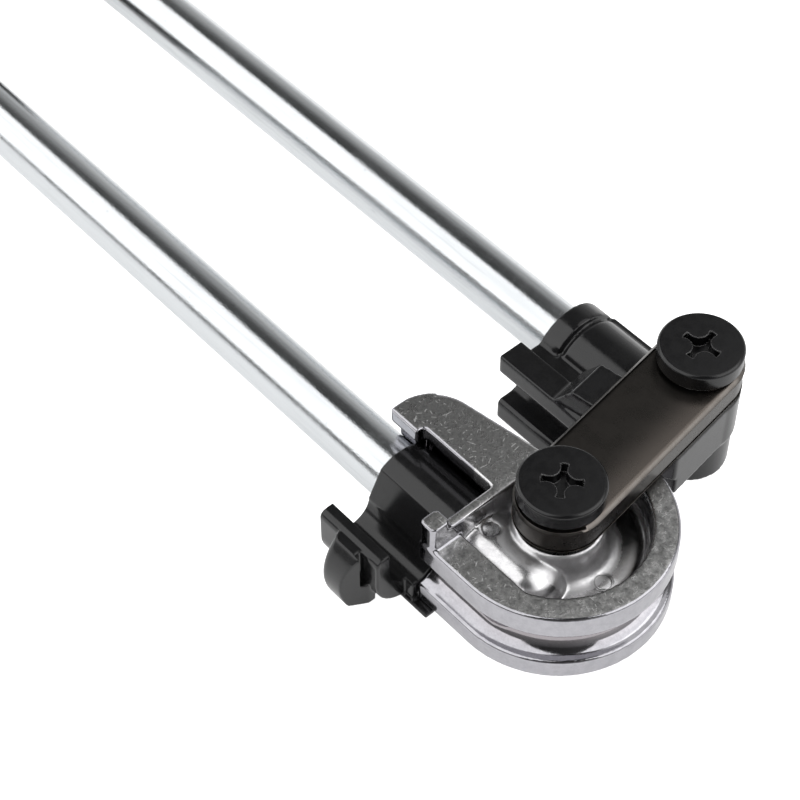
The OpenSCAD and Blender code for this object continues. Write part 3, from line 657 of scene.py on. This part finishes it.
def softenArmRim(piece):
    # points within a band of the arm's outer edge, a line that runs into an arc, are evened out further
    mesh = piece.data
    flat = np.empty(len(mesh.vertices) * 3)
    mesh.vertices.foreach_get("co", flat)
    x, y, z = flat.reshape(-1, 3).T
    cx, cy = armRim["endCentre"]
    slope = np.radians(armRim["slope"])
    toLine = armRim["endRadius"] - ((y - cy) * np.cos(slope) - (x - cx) * np.sin(slope))
    toArc = armRim["endRadius"] - np.hypot(x - cx, y - cy)
    inside = np.where(x > cx, toLine, toArc)
    high = (z > armRim["top"] - armRim["depth"]) & (z < armRim["top"] + armRim["over"])
    near = high & (inside < armRim["band"]) & (x > armRim["from"]) & (x < armRim["to"])
    group = piece.vertex_groups.new(name="armRim")
    group.add(np.flatnonzero(near).tolist(), 1.0, "REPLACE")
    soften = piece.modifiers.new("softArmRim", "SMOOTH")
    soften.vertex_group = "armRim"
    soften.factor = evenShare
    soften.iterations = armRim["passes"]
    print("arm edge softened:", int(near.sum()), "points")


softenArmRim(castPieces["bend_die"])

bevelled = {
    "link_plate": {"width": 0.0010, "segments": 4},
    "die_pivot_screw": {"width": 0.00025, "segments": 2},
    "shoe_pivot_screw": {"width": 0.00025, "segments": 2},
}
bevelAngles = {"joinFlat": 0.6, "sharpFrom": 32.0}


def bevelledCopy(nodeName, width, segments):
    # the CAD shape merged into one skin, flat faces joined, sharp edges rounded by a bevel
    mesh = bpy.data.meshes.new(nodeName + "Soft")
    skin = mergedSkin(nodeName)
    joinFlat = radians(bevelAngles["joinFlat"])
    bmesh.ops.dissolve_limit(skin, angle_limit=joinFlat, verts=skin.verts, edges=skin.edges)
    for face in skin.faces:
        face.smooth = True
    skin.to_mesh(mesh)
    skin.free()
    for leftover in ("custom_normal", "sharp_edge", "sharp_face"):
        if leftover in mesh.attributes:
            mesh.attributes.remove(mesh.attributes[leftover])
    mesh.materials.clear()
    mesh.materials.append(finishes[finishOf[nodeName]])
    piece = bpy.data.objects.new(nodeName + "Soft", mesh)
    bpy.context.scene.collection.objects.link(piece)
    bevel = piece.modifiers.new("roundedEdges", "BEVEL")
    bevel.width = width
    bevel.segments = segments
    bevel.limit_method = "ANGLE"
    bevel.angle_limit = radians(bevelAngles["sharpFrom"])
    bevel.use_clamp_overlap = False
    bevel.loop_slide = False
    weighted = piece.modifiers.new("evenNormals", "WEIGHTED_NORMAL")
    weighted.keep_sharp = True
    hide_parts(nodeName)
    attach(piece, bodyOf[nodeName])


for nodeName, settings in bevelled.items():
    bevelledCopy(nodeName, **settings)
print("bevelled pieces made:", len(bevelled))


gripShape = {
    "bore": 0.00802, "lip": 0.0016, "waist": 0.0007, "ribs": 13, "ribDepth": 0.0005,
    "ribStart": 0.16, "ribEnd": 0.80, "endRound": 0.0075, "wall": 0.004,
    "around": 72, "along": 180, "corner": 14,
}


def turnedMesh(name, x, r, axisY, axisZ, around):
    # a profile x, r turned round an axis parallel to X; both its ends lie on the axis
    turn = np.linspace(0.0, 2.0 * np.pi, around, endpoint=False)
    ringX = np.repeat(x[1:-1, None], around, 1)
    ringY = axisY + r[1:-1, None] * np.cos(turn)
    ringZ = axisZ + r[1:-1, None] * np.sin(turn)
    rings = np.stack([ringX, ringY, ringZ], -1).reshape(-1, 3)
    poles = np.array([[x[0], axisY, axisZ], [x[-1], axisY, axisZ]])
    count = len(x) - 2
    cell = np.arange(count * around).reshape(count, around)
    after = np.roll(cell, -1, 1)
    quads = np.stack([cell[:-1], cell[1:], after[1:], after[:-1]], -1).reshape(-1, 4)
    first, last = count * around, count * around + 1
    startFan = np.stack([np.full(around, first), cell[0], after[0]], -1)
    endFan = np.stack([np.full(around, last), after[-1], cell[-1]], -1)
    mesh = bpy.data.meshes.new(name)
    faces = quads.tolist() + startFan.tolist() + endFan.tolist()
    mesh.from_pydata(np.vstack([rings, poles]).tolist(), [], faces)
    mesh.polygons.foreach_set("use_smooth", np.ones(len(mesh.polygons), dtype=bool))
    fixed = bmesh.new()
    fixed.from_mesh(mesh)
    bmesh.ops.recalc_face_normals(fixed, faces=fixed.faces)
    fixed.to_mesh(mesh)
    fixed.free()
    return mesh


def makeGrip(nodeName, pieceName):
    # profile from the inner end wall along the bore, round the open lip,
    # along a waisted ribbed side to a round end
    low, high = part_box(nodeName)
    shape = gripShape
    radius = (high.y - low.y) / 2
    along = np.linspace(0.0, 1.0, shape["along"])
    side = radius - shape["waist"] * np.sin(np.pi * along) ** 2
    ribZone = np.clip((along - shape["ribStart"]) / (shape["ribEnd"] - shape["ribStart"]), 0.0, 1.0)
    side -= shape["ribDepth"] * (0.5 - 0.5 * np.cos(2.0 * np.pi * shape["ribs"] * ribZone)) ** 3
    start, stop = high.x - shape["lip"], low.x + shape["endRound"]
    sideX = start + (stop - start) * along
    quarter = np.linspace(0.0, np.pi / 2, shape["corner"])
    lipX = start + shape["lip"] * np.cos(quarter)
    lipR = radius - shape["lip"] + shape["lip"] * np.sin(quarter)
    endX = stop - shape["endRound"] * np.sin(quarter)
    endR = radius - shape["endRound"] + shape["endRound"] * np.cos(quarter)
    x = np.concatenate([[low.x + shape["wall"]] * 2, [high.x], lipX, sideX[1:-1], endX, [low.x]])
    r = np.concatenate([[0.0, shape["bore"]], [shape["bore"]], lipR, side[1:-1], endR, [0.0]])
    mesh = turnedMesh(pieceName, x, r, (low.y + high.y) / 2, (low.z + high.z) / 2, shape["around"])
    mesh.materials.append(finishes["grip_rubber"])
    piece = bpy.data.objects.new(pieceName, mesh)
    bpy.context.scene.collection.objects.link(piece)
    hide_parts(nodeName)
    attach(piece, bodyOf[nodeName])


makeGrip("die_grip", "dieGripRibbed")
makeGrip("shoe_grip", "shoeGripRibbed")
print("ribbed grips made")


# stage, light and camera

studio = {
    "floor": (0.90, 0.90, 0.90), "floorGlow": 0.37, "floorRough": 0.9,
    "floorReach": 4.0, "floorPoints": 9, "floorLevel": -0.0002,
    "sky": ((0.0, 0.80), (0.06, 0.76), (0.30, 0.52), (0.52, 0.34), (0.68, 0.09), (1.0, 0.05)),
    "nearSide": 0.42, "sideBand": (-0.6, 0.2),
    "lens": 98.85, "sensor": 36.0, "clipStart": 0.01,
    "eye": (0.2074, -0.2325, 0.4393),
    "right": (0.6611, 0.7503, 0.0), "up": (-0.5759, 0.5074, 0.6411), "back": (0.4810, -0.4238, 0.7675),
}
softLights = {
    "overheadBox": {"centre": (-0.60, -0.76, 1.05), "size": (2.6, 1.75), "glow": 1.55},
    "sideCard": {"centre": (0.85, 0.58, 0.95), "size": (1.4, 1.15), "glow": 1.7},
    "topCard": {"centre": (0.02, 0.66, 1.25), "size": (1.15, 0.8), "glow": 0.85},
}


def makeFloor():
    # a wide level sheet as a grid, just under the piece
    count = studio["floorPoints"]
    side = np.linspace(-studio["floorReach"], studio["floorReach"], count)
    x, y = np.meshgrid(side, side, indexing="ij")
    places = np.stack([x, y, np.full_like(x, studio["floorLevel"])], -1).reshape(-1, 3)
    cell = np.arange(count * count).reshape(count, count)
    quads = np.stack([cell[:-1, :-1], cell[1:, :-1], cell[1:, 1:], cell[:-1, 1:]], -1).reshape(-1, 4)
    mesh = bpy.data.meshes.new("paleFloor")
    mesh.from_pydata(places.tolist(), [], quads.tolist())
    floor = bpy.data.objects.new("paleFloor", mesh)
    bpy.context.scene.collection.objects.link(floor)
    material, tree, shader = startMaterial("paleFloor")
    shader.inputs["Base Color"].default_value = (*studio["floor"], 1.0)
    shader.inputs["Roughness"].default_value = studio["floorRough"]
    shader.inputs["Emission Color"].default_value = (1.0, 1.0, 1.0, 1.0)
    # white to the camera, softer in reflections
    seen = addNode(tree, "ShaderNodeLightPath").outputs["Is Camera Ray"]
    wire(tree, rampStep(tree, seen, 0.0, 1.0, studio["floorGlow"], 1.0), shader.inputs["Emission Strength"])
    mesh.materials.append(material)


def makeWorld():
    # pale at the horizon, darker overhead and on the near side, white to the camera itself
    world = bpy.data.worlds.new("studioRoom")
    bpy.context.scene.world = world
    world.use_nodes = True
    tree = world.node_tree
    background = tree.nodes["Background"]
    coords = addNode(tree, "ShaderNodeTexCoord").outputs["Generated"]
    split = addNode(tree, "ShaderNodeSeparateXYZ")
    wire(tree, coords, split.inputs[0])
    ramp = addNode(tree, "ShaderNodeValToRGB")
    while len(ramp.color_ramp.elements) < len(studio["sky"]):
        ramp.color_ramp.elements.new(0.5)
    for element, (place, grey) in zip(ramp.color_ramp.elements, studio["sky"]):
        element.position = place
        element.color = (grey, grey, grey, 1.0)
    wire(tree, split.outputs["Z"], ramp.inputs["Fac"])
    side = rampStep(tree, split.outputs["Y"], *studio["sideBand"], studio["nearSide"], 1.0)
    shade = addNode(tree, "ShaderNodeMix", data_type="RGBA", blend_type="MULTIPLY")
    shade.inputs["Factor"].default_value = 1.0
    wire(tree, ramp.outputs["Color"], shade.inputs[6])
    wire(tree, side, shade.inputs[7])
    seen = addNode(tree, "ShaderNodeLightPath").outputs["Is Camera Ray"]
    wire(tree, mixStep(tree, seen, shade.outputs[2], (1.0, 1.0, 1.0)), background.inputs["Color"])
    background.inputs["Strength"].default_value = 1.0


def makeSoftbox(name, centre, size, glow):
    # a flat light that faces the tool, its long side level; glow is its brightness against white
    data = bpy.data.lights.new(name, "AREA")
    data.shape = "RECTANGLE"
    data.size, data.size_y = size
    data.energy = glow * np.pi * size[0] * size[1]
    light = bpy.data.objects.new(name, data)
    bpy.context.scene.collection.objects.link(light)
    away = Vector(centre).normalized()
    level = Vector((1.0, 0.0, 0.0)) if abs(away.x) < 0.6 else Vector((0.0, 1.0, 0.0))
    across = away.cross(level).normalized()
    level = across.cross(away)
    turned = Matrix((level, across, away)).transposed().to_4x4()
    light.matrix_world = Matrix.Translation(centre) @ turned
    light.visible_camera = False


def makeCamera():
    data = bpy.data.cameras.new("photoCamera")
    data.lens = studio["lens"]
    data.sensor_width = studio["sensor"]
    data.clip_start = studio["clipStart"]
    camera = bpy.data.objects.new("photoCamera", data)
    bpy.context.scene.collection.objects.link(camera)
    turned = Matrix((studio["right"], studio["up"], studio["back"])).transposed().to_4x4()
    camera.matrix_world = Matrix.Translation(studio["eye"]) @ turned
    bpy.context.scene.camera = camera


makeFloor()
makeWorld()
for name, settings in softLights.items():
    makeSoftbox(name, **settings)
makeCamera()
bpy.context.scene.view_settings.view_transform = "Standard"
print("studio made")
